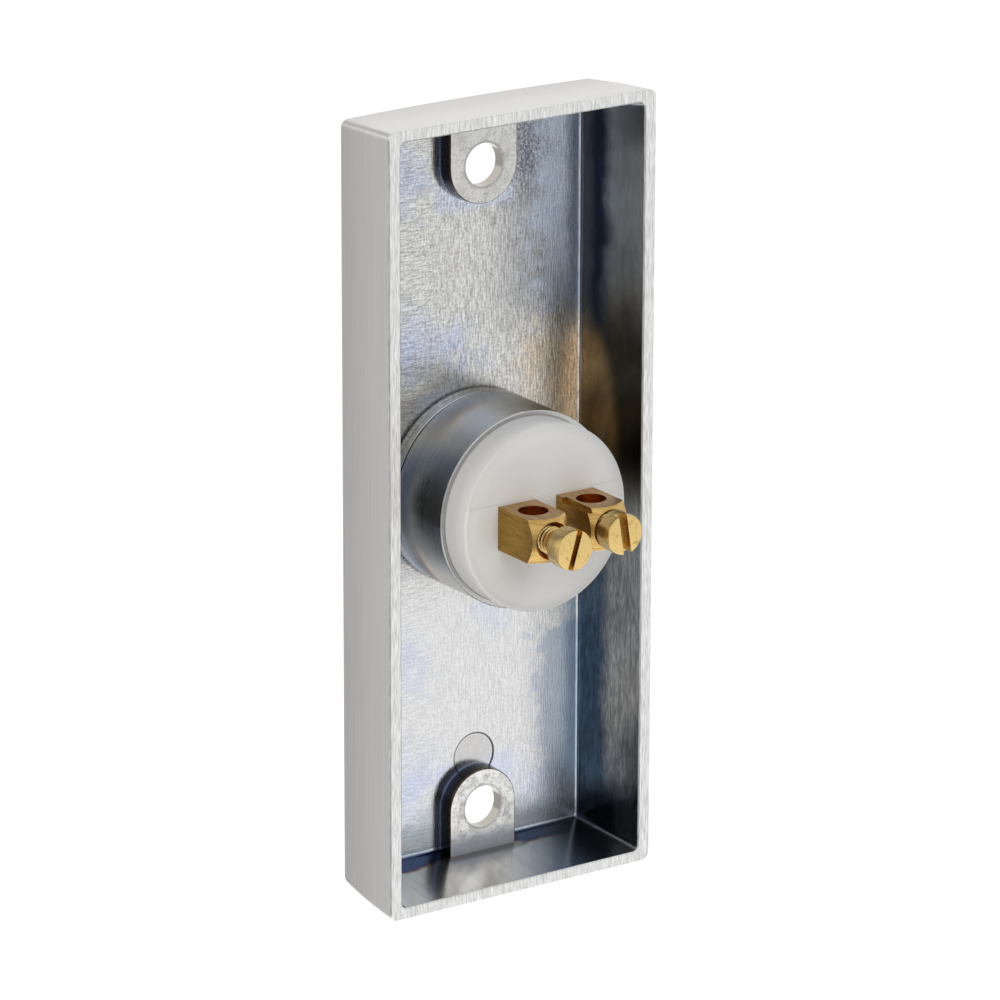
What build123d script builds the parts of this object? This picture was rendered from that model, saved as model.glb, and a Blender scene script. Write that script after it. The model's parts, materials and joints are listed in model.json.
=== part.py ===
from build123d import *
from math import atan, degrees
import os

os.makedirs("parts", exist_ok=True)

# Rectangular bell push, seen open at the back. Millimetres, +Z up.
# Origin: centre of the back rim, the plane that meets the wall (Y = 0).
# The front faces -Y; the open back, the terminals and their screws face +Y.

# Overall casing
height = 83.0
width = 32.4
depth = 11.5
front_bow = 1.1
edge_depth = depth - front_bow
half_h = height / 2
half_w = width / 2
side_mid_inset = 0.33
side_front_inset = 0.95
end_mid_inset = 0.4
end_front_inset = 1.0
outer_edge_r = 0.9
trim_margin = 1.0
corner_zone = 2.0
end_zone = 1.0

# Hollow of the casing
front_t = 2.7
floor_y = front_t - depth
rim_side = 1.41
rim_end = 1.19
rim_break = 0.12
hollow_mid_inset = 0.62
hollow_side_inset = 1.62
hollow_end_inset = 1.4
hollow_corner_r = 0.6
hollow_floor_r = 0.5

# Screw lugs
lug_h = 1.7
lug_top_y = floor_y + lug_h
lug_half_w = 4.06
lug_from_end = 7.1
lug_hole_z = half_h - lug_from_end
lug_reach = lug_from_end - rim_end
lug_draft = 4.0
lug_edge_r = 0.15
screw_hole_r = 2.25
screw_bore = 1.3
sink_r = 5.0
sink_depth = lug_top_y - screw_bore + depth
sink_angle = 2 * degrees(atan((sink_r - screw_hole_r) / sink_depth))

# Ejector witness mark on the floor, partly under the lower lug
witness_r = 2.45
witness_from_hole = 5.1
witness_depth = 0.08

# Barrel
barrel_r = 10.4
barrel_wall = 0.5
barrel_proud = 0.5
skirt_gap = 1.1
skirt_y = floor_y + skirt_gap
skirt_chamfer = 0.1
barrel_rim_r = 0.12
bore_r = barrel_r - barrel_wall
chamber_r = 8.0
spigot_wall = 1.0
spigot_r = chamber_r + spigot_wall
shoulder_w = 0.6
shoulder_r = spigot_r + shoulder_w
bezel_proud = 1.2
bezel_y = -depth - bezel_proud
bezel_edge_r = 0.7
bezel_inner_r = 0.3
lip_t = 2.4
lip_back_y = bezel_y + lip_t
fit_clearance = 0.05

# Terminal holder, a moulded plug seated in the barrel
holder_proud = 3.5
holder_len = 7.5
holder_face_y = barrel_proud + holder_proud
seat_y = holder_face_y - holder_len
holder_edge_r = 0.3
holder_step = 0.1
holder_step_z = 2.45
recess_r = 2.1
recess_depth = 0.8

# Push button, moving along Y
button_r = 6.0
button_clearance = 0.15
button_proud = 1.6
button_dome = 0.8
button_edge_r = 0.5
flange_clearance = 0.4
flange_r = chamber_r - flange_clearance
flange_t = 1.0
flange_back_y = lip_back_y + flange_t
travel = 1.5
stem_r = 3.2

# Contacts
contact_x = 3.55
contact_r = 1.5
contact_t = 0.8
contact_edge_r = 0.2
contact_overtravel = 0.05
bridge_r = 5.8
bridge_t = 0.8
bridge_edge_r = 0.15
bridge_back_y = seat_y - contact_t - travel - contact_overtravel
bridge_front_y = bridge_back_y - bridge_t
bridge_screw_r = 1.7
bridge_screw_head = 0.8
bridge_screw_head_r = 0.3
bridge_screw_thread_r = 1.2
bridge_screw_len = 2.3
bridge_screw_slot = 0.5
bridge_screw_slot_depth = 0.45
drill_allowance = 0.3

# Return spring
spring_side_gap = 0.7
spring_wire_r = 0.3
spring_r = chamber_r - spring_side_gap - spring_wire_r
spring_turns = 4
end_gap = 0.02

# Terminal blocks
block_half = 2.27
block_len = 6.35
block_end_y = holder_face_y + block_len
block_cone_r = 2.02
block_corner_r = 1.6 * block_half
shank_r = 1.25
shank_tip_r = 0.8
wire_hole_r = 1.55
wire_hole_out = 2.9
clamp_hole_r = 1.5
clamp_hole_depth = 3.3
clamp_mouth_r = 1.95
nick_w = 0.42
nick_depth = 0.5
nick_start = 1.1

# Clamp screws
screw_head_r = 2.1
screw_head_len = 1.95
screw_head_break = 0.12
screw_len = 3.6
thread_r = clamp_hole_r - fit_clearance
thread_root_r = 1.2
thread_pitch = 0.5
thread_flank = 0.2
thread_crest = 0.1
thread_neck = 0.3
thread_tip = 0.7
tip_break = 0.2
slot_depth = 0.9
screw_a_out = 1.95
screw_b_out = 0.55
screw_a_slot = 0.62
screw_b_slot = 0.92
screw_a_turn = 16.5
screw_b_turn = -9.0


def front_plane(y):
    """Plane facing -Y: local x is X, local y is Z."""
    return Plane(origin=(0, y, 0), x_dir=(1, 0, 0), z_dir=(0, -1, 0))


def back_plane(y):
    """Plane facing +Y: local x is -X, local y is Z."""
    return Plane(origin=(0, y, 0), x_dir=(-1, 0, 0), z_dir=(0, 1, 0))


def axis_plane(x):
    """Plane through an axis parallel to Y: local x is the radius, local y is Y."""
    return Plane(origin=(x, 0, 0), x_dir=(1, 0, 0), z_dir=(0, 0, 1))


# Tool body for the hollow: concave walls down to a flat floor
with BuildPart() as hollow:
    hollow_w = half_w - rim_side
    hollow_h = half_h - rim_end
    with BuildSketch(Plane.XY):
        with BuildLine():
            Line((-hollow_w, 0), (hollow_w, 0))
            ThreePointArc(
                (hollow_w, 0),
                (hollow_w - hollow_mid_inset, floor_y / 2),
                (hollow_w - hollow_side_inset, floor_y),
            )
            Line((hollow_w - hollow_side_inset, floor_y), (-hollow_w + hollow_side_inset, floor_y))
            ThreePointArc(
                (-hollow_w + hollow_side_inset, floor_y),
                (-hollow_w + hollow_mid_inset, floor_y / 2),
                (-hollow_w, 0),
            )
        make_face()
    extrude(amount=half_h, both=True)
    with BuildSketch(Plane.YZ):
        with BuildLine():
            Line((0, -hollow_h), (0, hollow_h))
            ThreePointArc(
                (0, hollow_h),
                (floor_y / 2, hollow_h - hollow_mid_inset),
                (floor_y, hollow_h - hollow_end_inset),
            )
            Line((floor_y, hollow_h - hollow_end_inset), (floor_y, -hollow_h + hollow_end_inset))
            ThreePointArc(
                (floor_y, -hollow_h + hollow_end_inset),
                (floor_y / 2, -hollow_h + hollow_mid_inset),
                (0, -hollow_h),
            )
        make_face()
    extrude(amount=half_w, both=True, mode=Mode.INTERSECT)
    fillet(
        hollow.edges().filter_by(
            lambda e: abs(e.center().X) > hollow_w - corner_zone
            and abs(e.center().Z) > hollow_h - corner_zone
            and e.center().Y > floor_y + end_zone
            and e.center().Y < -end_zone
        ),
        hollow_corner_r,
    )
    fillet(hollow.faces().sort_by(Axis.Y)[0].edges(), hollow_floor_r)


# Tool body for the lugs: rounded pads that run into the end walls
with BuildPart() as lugs:
    for lug_side in (1, -1):
        with BuildSketch(front_plane(lug_top_y)):
            with Locations((0, lug_side * lug_hole_z)):
                Circle(lug_half_w)
            with Locations((0, lug_side * (lug_hole_z + lug_reach / 2))):
                Rectangle(2 * lug_half_w, lug_reach)
        extrude(amount=lug_h + 2 * witness_depth, taper=-lug_draft)
    fillet(lugs.edges().group_by(Axis.Y)[-1], lug_edge_r)


# Casing: two curved profiles crossed, which leaves mitred corner edges and a bowed front
with BuildPart() as casing:
    with BuildSketch(Plane.XY):
        with BuildLine():
            Line((-half_w, 0), (half_w, 0))
            ThreePointArc(
                (half_w, 0),
                (half_w - side_mid_inset, -edge_depth / 2),
                (half_w - side_front_inset, -edge_depth),
            )
            ThreePointArc(
                (half_w - side_front_inset, -edge_depth),
                (0, -depth),
                (-half_w + side_front_inset, -edge_depth),
            )
            ThreePointArc(
                (-half_w + side_front_inset, -edge_depth),
                (-half_w + side_mid_inset, -edge_depth / 2),
                (-half_w, 0),
            )
        make_face()
    extrude(amount=half_h + trim_margin, both=True)
    with BuildSketch(Plane.YZ):
        with BuildLine():
            Line((0, -half_h), (0, half_h))
            ThreePointArc(
                (0, half_h),
                (-depth / 2, half_h - end_mid_inset),
                (-depth, half_h - end_front_inset),
            )
            Line((-depth, half_h - end_front_inset), (-depth, -half_h + end_front_inset))
            ThreePointArc(
                (-depth, -half_h + end_front_inset),
                (-depth / 2, -half_h + end_mid_inset),
                (0, -half_h),
            )
        make_face()
    extrude(amount=half_w + trim_margin, both=True, mode=Mode.INTERSECT)
    fillet(casing.edges().filter_by(lambda e: e.center().Y < -end_zone), outer_edge_r)
    add(hollow.part, mode=Mode.SUBTRACT)
    chamfer(casing.faces().sort_by(Axis.Y)[-1].edges(), rim_break)

    # Ejector witness mark
    with BuildSketch(back_plane(floor_y)):
        with Locations((0, witness_from_hole - lug_hole_z)):
            Circle(witness_r)
    extrude(amount=-witness_depth, mode=Mode.SUBTRACT)

    add(lugs.part)

    # Fixing holes, sunk from the front
    with Locations(front_plane(-depth)):
        with Locations((0, lug_hole_z), (0, -lug_hole_z)):
            CounterSinkHole(screw_hole_r, sink_r, depth=depth, counter_sink_angle=sink_angle)

    # Seat for the barrel's spigot
    with Locations(front_plane(-depth)):
        Hole(spigot_r + fit_clearance, depth=depth + floor_y)
casing.part.label = "casing"
export_step(casing.part, "parts/casing.step")


# Barrel: a turned sleeve whose spigot passes through the casing and frames the button
with BuildPart() as barrel:
    with BuildSketch(axis_plane(0)):
        with BuildLine():
            Polyline(
                (bore_r, barrel_proud),
                (barrel_r, barrel_proud),
                (barrel_r, skirt_y),
                (shoulder_r, skirt_y),
                (shoulder_r, floor_y),
                (spigot_r, floor_y),
                (spigot_r, bezel_y),
                (button_r + button_clearance, bezel_y),
                (button_r + button_clearance, lip_back_y),
                (chamber_r, lip_back_y),
                (chamber_r, seat_y),
                (bore_r, seat_y),
                close=True,
            )
        make_face()
    revolve(axis=Axis.Y)
    bezel_edges = barrel.edges().filter_by(GeomType.CIRCLE).group_by(Axis.Y)[0]
    fillet(bezel_edges.sort_by(SortBy.RADIUS)[-1], bezel_edge_r)
    fillet(barrel.edges().filter_by(GeomType.CIRCLE).group_by(Axis.Y)[0].sort_by(SortBy.RADIUS)[0], bezel_inner_r)
    skirt_edges = barrel.edges().filter_by(GeomType.CIRCLE).filter_by(
        lambda e: abs(e.center().Y - skirt_y) < 0.01 and abs(e.radius - barrel_r) < 0.01
    )
    chamfer(skirt_edges, skirt_chamfer)
    fillet(barrel.edges().filter_by(GeomType.CIRCLE).group_by(Axis.Y)[-1].sort_by(SortBy.RADIUS)[-1], barrel_rim_r)
barrel.part.label = "barrel"
export_step(barrel.part, "parts/barrel.step")


# Push button with its retaining flange and stem
with BuildPart() as push_button:
    with BuildSketch(axis_plane(0)):
        with BuildLine():
            button_front_y = bezel_y - button_proud
            button_edge_y = button_front_y + button_dome
            Line((0, bridge_front_y), (stem_r, bridge_front_y))
            Line((stem_r, bridge_front_y), (stem_r, flange_back_y))
            Line((stem_r, flange_back_y), (flange_r, flange_back_y))
            Line((flange_r, flange_back_y), (flange_r, lip_back_y))
            Line((flange_r, lip_back_y), (button_r, lip_back_y))
            Line((button_r, lip_back_y), (button_r, button_edge_y))
            ThreePointArc(
                (button_r, button_edge_y),
                (button_r / 2, button_front_y + button_dome / 4),
                (0, button_front_y),
            )
            Line((0, button_front_y), (0, bridge_front_y))
        make_face()
    revolve(axis=Axis.Y)
    rim_edges = push_button.edges().filter_by(GeomType.CIRCLE).filter_by(
        lambda e: abs(e.center().Y - button_edge_y) < 0.01
    )
    fillet(rim_edges, button_edge_r)
    with Locations(back_plane(bridge_front_y)):
        Hole(bridge_screw_thread_r + fit_clearance, depth=bridge_screw_len + drill_allowance)
push_button.part.label = "push_button"
export_step(push_button.part, "parts/push_button.step")


# Contact bridge: a disc that joins the two fixed contacts when pressed
with BuildPart() as contact_bridge:
    with BuildSketch(back_plane(bridge_front_y)):
        Circle(bridge_r)
        Circle(bridge_screw_thread_r + fit_clearance, mode=Mode.SUBTRACT)
    extrude(amount=bridge_t)
    fillet(contact_bridge.edges().filter_by(GeomType.CIRCLE).sort_by(SortBy.RADIUS)[-2:], bridge_edge_r)
contact_bridge.part.label = "contact_bridge"
export_step(contact_bridge.part, "parts/contact_bridge.step")


# Screw that holds the bridge to the button's stem
with BuildPart() as bridge_screw:
    with BuildSketch(back_plane(bridge_back_y)):
        Circle(bridge_screw_r)
    extrude(amount=bridge_screw_head)
    with BuildSketch(back_plane(bridge_back_y)):
        Circle(bridge_screw_thread_r)
    extrude(amount=-(bridge_t + bridge_screw_len))
    fillet(bridge_screw.edges().filter_by(GeomType.CIRCLE).group_by(Axis.Y)[-1], bridge_screw_head_r)
    with BuildSketch(back_plane(bridge_back_y + bridge_screw_head)):
        Rectangle(2 * (bridge_screw_r + trim_margin), bridge_screw_slot)
    extrude(amount=-bridge_screw_slot_depth, mode=Mode.SUBTRACT)
bridge_screw.part.label = "bridge_screw"
export_step(bridge_screw.part, "parts/bridge_screw.step")


# Return spring between the button's flange and the terminal holder
with BuildPart() as return_spring:
    spring_low = flange_back_y + spring_wire_r + end_gap
    spring_high = seat_y - spring_wire_r - end_gap
    with BuildLine() as spring_path:
        Helix(
            pitch=(spring_high - spring_low) / spring_turns,
            height=spring_high - spring_low,
            radius=spring_r,
            center=(0, spring_low, 0),
            direction=(0, 1, 0),
        )
    with BuildSketch(Plane(origin=spring_path.line @ 0, z_dir=spring_path.line % 0)):
        Circle(spring_wire_r)
    sweep(is_frenet=True)
return_spring.part.label = "return_spring"
export_step(return_spring.part, "parts/return_spring.step")


# Terminal holder: insulating plug in the barrel, carrying both terminals
with BuildPart() as terminal_holder:
    with BuildSketch(back_plane(seat_y)):
        Circle(bore_r - fit_clearance)
    extrude(amount=holder_face_y - seat_y)
    fillet(terminal_holder.edges().filter_by(GeomType.CIRCLE).group_by(Axis.Y)[-1], holder_edge_r)
    with BuildSketch(back_plane(holder_face_y)):
        with Locations((0, holder_step_z + barrel_r)):
            Rectangle(2 * barrel_r, 2 * barrel_r)
    extrude(amount=-holder_step, mode=Mode.SUBTRACT)
    with BuildSketch(back_plane(seat_y)):
        Circle(recess_r)
    extrude(amount=recess_depth, mode=Mode.SUBTRACT)
    with Locations(back_plane(holder_face_y)):
        with Locations((contact_x, 0), (-contact_x, 0)):
            Hole(shank_r + end_gap)
terminal_holder.part.label = "terminal_holder"
export_step(terminal_holder.part, "parts/terminal_holder.step")


def make_terminal(x, nicked):
    """Square terminal block with a turned end, a wire hole, a clamp hole and a shank.

    Args:
        x: position of the block's axis along X.
        nicked: whether one upper edge carries a rebate left by the cutter.

    Returns:
        The finished builder.
    """
    cone_y = block_end_y - (block_half - block_cone_r)
    with BuildPart() as block:
        with BuildSketch(back_plane(holder_face_y)):
            with Locations((-x, 0)):
                Rectangle(2 * block_half, 2 * block_half)
        extrude(amount=block_len)
        with BuildSketch(axis_plane(x)):
            with BuildLine():
                Polyline(
                    (0, holder_face_y),
                    (block_corner_r, holder_face_y),
                    (block_corner_r, cone_y + block_half - block_corner_r),
                    (block_cone_r, block_end_y),
                    (0, block_end_y),
                    close=True,
                )
            make_face()
        revolve(axis=Axis((x, 0, 0), (0, 1, 0)), mode=Mode.INTERSECT)
        with BuildSketch(back_plane(holder_face_y)):
            with Locations((-x, 0)):
                Circle(shank_r)
        extrude(amount=seat_y - holder_face_y)
        with BuildSketch(back_plane(seat_y)):
            with Locations((-x, 0)):
                Circle(shank_tip_r)
        extrude(amount=-contact_t)
        with BuildSketch(Plane.XY.offset(block_half)):
            with Locations((x, holder_face_y + wire_hole_out)):
                Circle(wire_hole_r)
        extrude(amount=-2 * block_half, mode=Mode.SUBTRACT)
        with Locations(back_plane(block_end_y)):
            with Locations((-x, 0)):
                CounterSinkHole(clamp_hole_r, clamp_mouth_r, depth=clamp_hole_depth)
        if nicked:
            with BuildSketch(Plane.XY.offset(block_half)):
                with Locations((x + block_half, holder_face_y + nick_start + block_len / 2)):
                    Rectangle(2 * nick_w, block_len)
            extrude(amount=-nick_depth, mode=Mode.SUBTRACT)
    return block


terminal_a = make_terminal(contact_x, False)
terminal_a.part.label = "terminal_a"
export_step(terminal_a.part, "parts/terminal_a.step")

terminal_b = make_terminal(-contact_x, True)
terminal_b.part.label = "terminal_b"
export_step(terminal_b.part, "parts/terminal_b.step")


def make_contact(x):
    """Fixed contact: a small collar on the inner end of a terminal's shank.

    Args:
        x: position of the contact's axis along X.

    Returns:
        The finished builder.
    """
    with BuildPart() as collar:
        with BuildSketch(back_plane(seat_y)):
            with Locations((-x, 0)):
                Circle(contact_r)
                Circle(shank_tip_r + end_gap, mode=Mode.SUBTRACT)
        extrude(amount=-contact_t)
        fillet(collar.edges().filter_by(GeomType.CIRCLE).group_by(Axis.Y)[0].sort_by(SortBy.RADIUS)[-1], contact_edge_r)
    return collar


fixed_contact_a = make_contact(contact_x)
fixed_contact_a.part.label = "fixed_contact_a"
export_step(fixed_contact_a.part, "parts/fixed_contact_a.step")

fixed_contact_b = make_contact(-contact_x)
fixed_contact_b.part.label = "fixed_contact_b"
export_step(fixed_contact_b.part, "parts/fixed_contact_b.step")


def make_clamp_screw(x, out, slot, turn):
    """Slotted cheese-head clamp screw with a grooved thread.

    Args:
        x: position of the screw's axis along X.
        out: how far the head stands off the terminal block.
        slot: width of the driver slot.
        turn: angle of the slot from upright, in degrees.

    Returns:
        The finished builder.
    """
    under_y = block_end_y + out
    face_y = under_y + screw_head_len
    tip_y = under_y - screw_len
    grooves = int((screw_len - thread_neck - thread_tip) / thread_pitch)
    outline = [(0, under_y), (thread_root_r, under_y)]
    for i in range(grooves):
        root_y = under_y - thread_neck - i * thread_pitch
        outline.append((thread_root_r, root_y))
        outline.append((thread_r, root_y - thread_flank))
        outline.append((thread_r, root_y - thread_flank - thread_crest))
    outline.append((thread_root_r, under_y - thread_neck - grooves * thread_pitch))
    outline.append((thread_root_r, tip_y + tip_break))
    outline.append((thread_root_r - tip_break, tip_y))
    outline.append((0, tip_y))
    with BuildPart() as screw:
        with BuildSketch(axis_plane(x)):
            with BuildLine():
                Polyline(*outline, close=True)
            make_face()
        revolve(axis=Axis((x, 0, 0), (0, 1, 0)))
        with BuildSketch(back_plane(under_y)):
            with Locations((-x, 0)):
                Circle(screw_head_r)
        extrude(amount=screw_head_len)
        chamfer(screw.edges().filter_by(GeomType.CIRCLE).group_by(Axis.Y)[-1], screw_head_break)
        with BuildSketch(back_plane(face_y)):
            with Locations((-x, 0)):
                Rectangle(slot, 2 * (screw_head_r + trim_margin), rotation=turn)
        extrude(amount=-slot_depth, mode=Mode.SUBTRACT)
    return screw


clamp_screw_a = make_clamp_screw(contact_x, screw_a_out, screw_a_slot, screw_a_turn)
clamp_screw_a.part.label = "clamp_screw_a"
export_step(clamp_screw_a.part, "parts/clamp_screw_a.step")

clamp_screw_b = make_clamp_screw(-contact_x, screw_b_out, screw_b_slot, screw_b_turn)
clamp_screw_b.part.label = "clamp_screw_b"
export_step(clamp_screw_b.part, "parts/clamp_screw_b.step")
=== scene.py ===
"""Dresses a rectangular bell push: plated casing, turned barrel, white plug, brass terminals and button."""

import json
import logging
import math
from dataclasses import dataclass
from enum import Enum
from functools import cached_property, reduce
from typing import ClassVar, Sequence

import bmesh
import bpy
from mathutils import Matrix, Vector


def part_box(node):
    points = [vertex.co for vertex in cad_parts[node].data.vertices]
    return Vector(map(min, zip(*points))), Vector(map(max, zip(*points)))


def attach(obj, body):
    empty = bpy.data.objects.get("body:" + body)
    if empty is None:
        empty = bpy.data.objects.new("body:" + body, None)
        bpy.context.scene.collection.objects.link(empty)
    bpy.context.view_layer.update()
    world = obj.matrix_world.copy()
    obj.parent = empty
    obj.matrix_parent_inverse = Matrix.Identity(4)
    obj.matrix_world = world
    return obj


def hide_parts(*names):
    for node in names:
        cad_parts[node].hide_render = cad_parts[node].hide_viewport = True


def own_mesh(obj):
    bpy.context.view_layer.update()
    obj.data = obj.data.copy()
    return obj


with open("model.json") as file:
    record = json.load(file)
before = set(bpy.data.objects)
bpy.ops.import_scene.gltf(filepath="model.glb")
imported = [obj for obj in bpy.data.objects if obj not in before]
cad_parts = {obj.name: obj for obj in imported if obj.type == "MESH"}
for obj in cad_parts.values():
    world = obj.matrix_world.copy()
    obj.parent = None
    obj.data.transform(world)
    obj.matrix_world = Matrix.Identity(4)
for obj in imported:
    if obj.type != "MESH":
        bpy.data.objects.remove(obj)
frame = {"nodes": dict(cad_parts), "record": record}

LOG = logging.getLogger("bell_push")
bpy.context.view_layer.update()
MM = 0.001
WHITE = (1.0, 1.0, 1.0)
# Points of a finished piece that lie closer than this are merged, in metres
MERGE = 1e-7
# Points of a screw that differ by less than this count as level, in millimetres
NEAR = 1e-4
# Places on the part that several classes use, in millimetres
FLOOR_Y = -8.8
SKIRT_Y = -7.7
TERMINAL_X = 3.55

Colour = tuple[float, float, float]
Pair = tuple[float, float]
Triple = tuple[float, float, float]
Patch = tuple[Pair, Pair]
Stops = tuple[tuple[float, Colour], ...]
Socket = bpy.types.NodeSocket
Inputs = dict[str | int, object]


class Blend(Enum):
    """How one colour goes over another."""

    COVER = "MIX"
    DARKEN = "MULTIPLY"


class Graph:
    """A node tree with short calls for the nodes that the finishes use."""

    def __init__(self, tree: bpy.types.NodeTree) -> None:
        """Keeps the tree that nodes are added to."""
        self.tree = tree

    def put(self, socket: Socket, value: object) -> None:
        """Feeds a socket.

        Args:
            socket: an input.
            value: an output to link to it, or its plain value.
        """
        if isinstance(value, Socket):
            self.tree.links.new(value, socket)
        elif socket.type == "RGBA":
            socket.default_value = (*value, 1.0)
        else:
            socket.default_value = value

    def feed(self, node: bpy.types.Node, values: Inputs) -> None:
        """Feeds several of a node's inputs, by name or number."""
        for key, value in values.items():
            self.put(node.inputs[key], value)

    def node(self, kind: str, values: Inputs, **settings: object) -> bpy.types.Node:
        """Adds a node.

        Args:
            kind: the node's class name without the ShaderNode prefix.
            values: what its inputs are fed.
            settings: properties set on the node.

        Returns:
            The new node.
        """
        made = self.tree.nodes.new("ShaderNode" + kind)
        for name, setting in settings.items():
            setattr(made, name, setting)
        self.feed(made, values)
        return made

    def math(self, operation: str, a: object, b: object = 0.0) -> Socket:
        """Works out an operation on one or two values."""
        return self.node("Math", {0: a, 1: b}, operation=operation).outputs[0]

    def add(self, *values: object) -> Socket:
        """Adds up several values."""
        return reduce(lambda total, value: self.math("ADD", total, value), values)

    def times(self, *values: object) -> Socket:
        """Multiplies several values."""
        return reduce(lambda total, value: self.math("MULTIPLY", total, value), values)

    def minus(self, a: object, b: object) -> Socket:
        """Takes the second value from the first."""
        return self.math("SUBTRACT", a, b)

    def invert(self, mask: object) -> Socket:
        """Takes a mask from one."""
        return self.minus(1.0, mask)

    def larger(self, a: object, b: object) -> Socket:
        """Gives the larger of two values."""
        return self.math("MAXIMUM", a, b)

    def unsigned(self, value: object) -> Socket:
        """Drops a value's sign."""
        return self.math("ABSOLUTE", value)

    def length(self, a: Socket, b: Socket) -> Socket:
        """Gives the length of a line with two legs."""
        return self.math("SQRT", self.add(self.times(a, a), self.times(b, b)))

    def step(self, value: object, low: float, high: float) -> Socket:
        """Rises smoothly from nought to one.

        Args:
            value: what is tested.
            low: where the rise starts, at nought.
            high: where it ends, at one; it may lie below low for a fall.

        Returns:
            The mask.
        """
        ends = {"From Min": min(low, high), "From Max": max(low, high)}
        values = {"Value": value, "To Min": float(low > high), "To Max": float(low < high), **ends}
        return self.node("MapRange", values, interpolation_type="SMOOTHSTEP").outputs["Result"]

    def span(self, value: object, low: float, high: float) -> Socket:
        """Stretches a value from nought and one to two other ends."""
        return self.node("MapRange", {"Value": value, "To Min": low, "To Max": high}).outputs["Result"]

    def blob(self, x: Socket, z: Socket, centre: Pair, reach: Pair) -> Socket:
        """Makes a soft round patch.

        Args:
            x: first coordinate.
            z: second coordinate.
            centre: middle of the patch.
            reach: half sizes at which the patch has faded out.

        Returns:
            The mask, one in the middle.
        """
        dx = self.math("DIVIDE", self.minus(x, centre[0]), reach[0])
        dz = self.math("DIVIDE", self.minus(z, centre[1]), reach[1])
        return self.step(self.length(dx, dz), 1.0, 0.0)

    def mix(self, share: object, a: object, b: object, blend: Blend = Blend.COVER) -> Socket:
        """Mixes two colours; share is how much of the second one shows."""
        values = {0: share, 6: a, 7: b}
        return self.node("Mix", values, data_type="RGBA", blend_type=blend.value).outputs[2]

    def between(self, share: object, a: object, b: object) -> Socket:
        """Mixes two numbers; share is how much of the second one counts."""
        return self.node("Mix", {0: share, 2: a, 3: b}, data_type="FLOAT").outputs[0]

    def stretch(self, vector: Socket, scale: Triple, turn: Triple = (0, 0, 0)) -> Socket:
        """Scales coordinates along the axes and turns them by degrees."""
        values = {"Vector": vector, "Scale": scale, "Rotation": tuple(map(math.radians, turn))}
        return self.node("Mapping", values, vector_type="POINT").outputs["Vector"]

    def noise(self, vector: Socket, scale: object, detail: float = 2.0, rough: float = 0.5) -> Socket:
        """Adds noise about one half; detail and rough are the number and strength of its finer layers."""
        values = {"Vector": vector, "Scale": scale, "Detail": detail, "Roughness": rough}
        return self.node("TexNoise", values, noise_dimensions="3D").outputs[0]

    def ramp(self, value: Socket, stops: Stops) -> Socket:
        """Maps a value to colours.

        Args:
            value: the value, from nought to one.
            stops: places and their colours.

        Returns:
            The colour.
        """
        made = self.node("ValToRGB", {0: value})
        points = made.color_ramp.elements
        while len(points) < len(stops):
            points.new(0.5)
        for point, (place, colour) in zip(points, stops):
            point.position = place
            point.color = (*colour, 1.0)
        return made.outputs[0]

    def split(self, vector: Socket) -> tuple[Socket, ...]:
        """Gives a vector's three values."""
        return tuple(self.node("SeparateXYZ", {0: vector}).outputs)

    def bump(self, height: Socket, depth: float, **under: Socket) -> Socket:
        """Bumps the surface, or another Normal, by a height whose depth is in millimetres."""
        values = {"Strength": 1.0, "Distance": depth * MM, "Height": height, **under}
        return self.node("Bump", values).outputs[0]

    def group(self, tree: bpy.types.NodeTree, **values: object) -> Socket:
        """Places a shared node group with its own values and gives its output."""
        return self.node("Group", values, node_tree=tree).outputs[0]


def new_group(
    name: str, inputs: dict[str, str], output: str, kind: str
) -> tuple[Graph, dict[str, Socket], Socket]:
    """Starts a shared shader node group.

    Args:
        name: the group's name.
        inputs: socket kinds by name.
        output: the output's name.
        kind: the output's socket kind.

    Returns:
        The graph, its input sockets by name and its output socket.
    """
    tree = bpy.data.node_groups.new(name, "ShaderNodeTree")
    for label, wanted in inputs.items():
        tree.interface.new_socket(label, in_out="INPUT", socket_type="NodeSocket" + wanted)
    tree.interface.new_socket(output, in_out="OUTPUT", socket_type="NodeSocket" + kind)
    source = tree.nodes.new("NodeGroupInput")
    sink = tree.nodes.new("NodeGroupOutput")
    return Graph(tree), {label: source.outputs[label] for label in inputs}, sink.inputs[output]


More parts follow.
